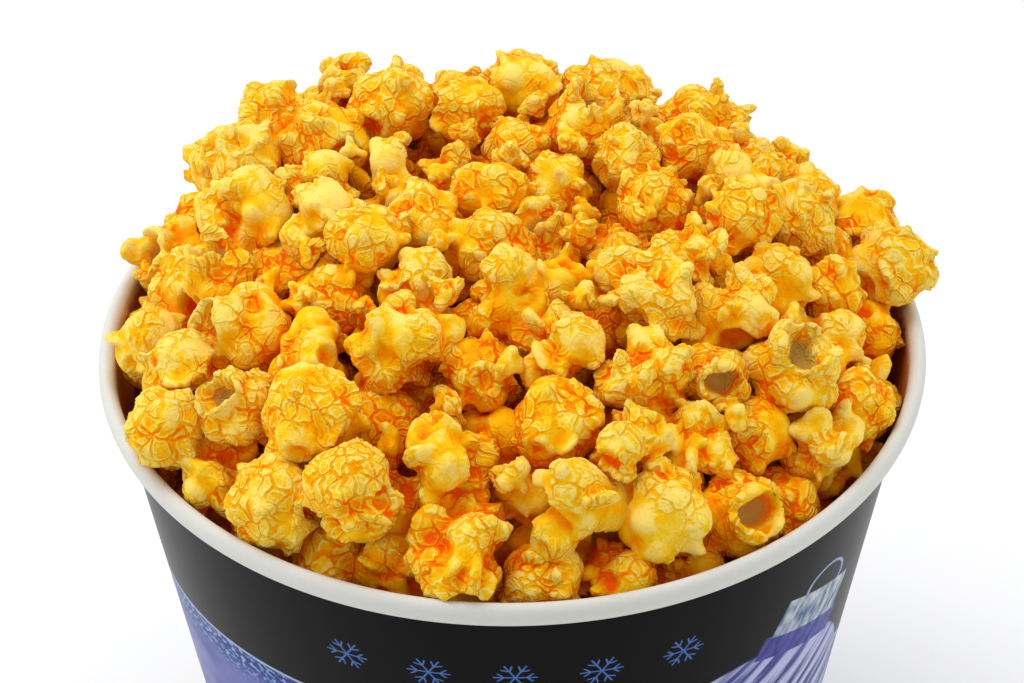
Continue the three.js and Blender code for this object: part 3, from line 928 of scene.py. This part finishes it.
# ---- stage
def studio():
    """A pale floor, soft lights from above and from both sides, and the camera."""
    scene = bpy.context.scene
    scene.view_settings.view_transform = "Standard"
    world = bpy.data.worlds.new("studio")
    scene.world = world
    world.use_nodes = True
    world.node_tree.nodes["Background"].inputs["Color"].default_value = (1, 1, 1, 1)
    world.node_tree.nodes["Background"].inputs["Strength"].default_value = 0.66
    material, _, surface = new_material("Painted_Plywood")
    surface.inputs["Base Color"].default_value = (0.96, 0.96, 0.96, 1)
    surface.inputs["Roughness"].default_value = 0.8
    mesh = bpy.data.meshes.new("floor")
    half = 4.0
    corners = [(-half, -half, 0), (half, -half, 0), (half, half, 0), (-half, half, 0)]
    mesh.from_pydata(corners, [], [(0, 1, 2, 3)])
    mesh.materials.append(material)
    floor = bpy.data.objects.new("floor", mesh)
    scene.collection.objects.link(floor)
    for name, place, size, power in (
        ("top light", (-0.25, 0.25, 1.3), 0.8, 7.3),
        ("left light", (-1.2, -0.1, 0.6), 0.7, 3.7),
        ("right light", (1.2, -0.1, 0.6), 0.7, 2.6),
    ):
        light = bpy.data.lights.new(name, "AREA")
        light.shape = "SQUARE"
        light.size = size
        light.energy = power
        lamp = bpy.data.objects.new(name, light)
        lamp.location = place
        lamp.rotation_euler = (Vector((0, 0, 0.2)) - Vector(place)).to_track_quat("-Z", "Y").to_euler()
        scene.collection.objects.link(lamp)
    camera = bpy.data.cameras.new("camera")
    camera.lens = 86.13
    eye = bpy.data.objects.new("camera", camera)
    distance, climb = 0.663, math.radians(37.70)
    eye.location = (0, -distance * math.cos(climb), ROLL_HEIGHT + distance * math.sin(climb))
    pitch, roll = math.radians(37.92), math.radians(-0.56)
    aim = Matrix.Rotation(math.pi / 2 - pitch, 3, "X") @ Matrix.Rotation(roll, 3, "Z")
    eye.rotation_euler = aim.to_euler()
    scene.collection.objects.link(eye)
    scene.camera = eye


def outward(place):
    """Which way a flake at a place in the heap faces: out of the heap, and a little towards its open side."""
    return Vector((place[0] * 0.8, place[1] * 0.8 - 40 * MM, 110 * MM)).normalized()


def flake_point(place, size, kind, rng):
    """One flake of the heap: its place, size, turn, shape, tone and calm."""
    turn = [rng.uniform(0, 2 * math.pi) for _ in range(3)]
    if kind == "open":
        way = (outward(place) + Vector([rng.uniform(-0.45, 0.45) for _ in range(3)])).normalized()
        spin = Matrix.Rotation(rng.uniform(0, 2 * math.pi), 3, "Z")
        turn = list((way.to_track_quat("Z", "Y").to_matrix() @ spin).to_euler())
    scale = SWELL * size / FLAKE
    stretch = [scale * rng.uniform(0.94, 1.07) for _ in range(3)]
    calm = min(1, max(0, KINDS[kind].calm + rng.uniform(-0.3, 0.3)))
    return tuple(place), stretch, turn, rng.randrange(KINDS[kind].shapes), rng.random(), calm


def loose_bits(places, radius, rng, count):
    """Small bits dropped into the hollows between the flakes."""
    found = []
    for _ in range(4000):
        x, y = rng.uniform(-98, 98) * MM, rng.uniform(-98, 98) * MM
        if math.hypot(x, y) > 97 * MM:
            continue
        size = rng.uniform(3.8, 5.6) * MM
        reach = (radius + size * 0.9) ** 2 - (places[:, 0] - x) ** 2 - (places[:, 1] - y) ** 2
        z = float((places[:, 2] + np.sqrt(np.maximum(reach, 0)))[reach > 0].max(initial=0))
        found.append((HEIGHT + heap_level(x, y) - z, x, y, z, size))
    found.sort(reverse=True)
    kept = []
    for depth, x, y, z, size in found:
        if depth < 25 * MM and all(math.dist((x, y, z), k[:3]) > 14 * MM for k in kept):
            kept.append((x, y, z, size))
        if len(kept) == count:
            break
    return kept


def dress(piece, node):
    """Puts a finished piece in the place of a solid of the frame."""
    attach(piece, "root")
    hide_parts(node)
    return piece


studio()
dress(bucket_wall(), "wall")
dress(bucket_base(), "base")
dress(heap_core(heap_inside()), "popcorn")
skin = puffed_corn()
tree = scatter_tree()
places, radius, layers = settled_flakes()
rng = random.Random(5)
share = {kind: row.share for kind, row in KINDS.items() if row.share}
seen = {kind: [] for kind in KINDS}
under = {kind: [] for kind in KINDS}
for place, size, layer in zip(places, radius, layers):
    kind = rng.choices(list(share), list(share.values()))[0]
    (seen if layer == 0 else under)[kind].append(flake_point(place, float(size), kind, rng))
for x, y, z, size in loose_bits(places, radius, rng, LOOSE_BITS):
    seen["bit"].append(flake_point((x, y, z), size, "bit", rng))
for kind in KINDS:
    shapes = flake_shapes(kind, VOXEL * KINDS[kind].coarse)
    dress(heap_piece(f"popcorn_{kind}", tree, seen[kind], shapes, skin), "popcorn")
for kind in share:
    shapes = flake_shapes(kind, VOXEL * UNDER_COARSE)
    dress(heap_piece(f"popcorn_under_{kind}", tree, under[kind], shapes, skin), "popcorn")
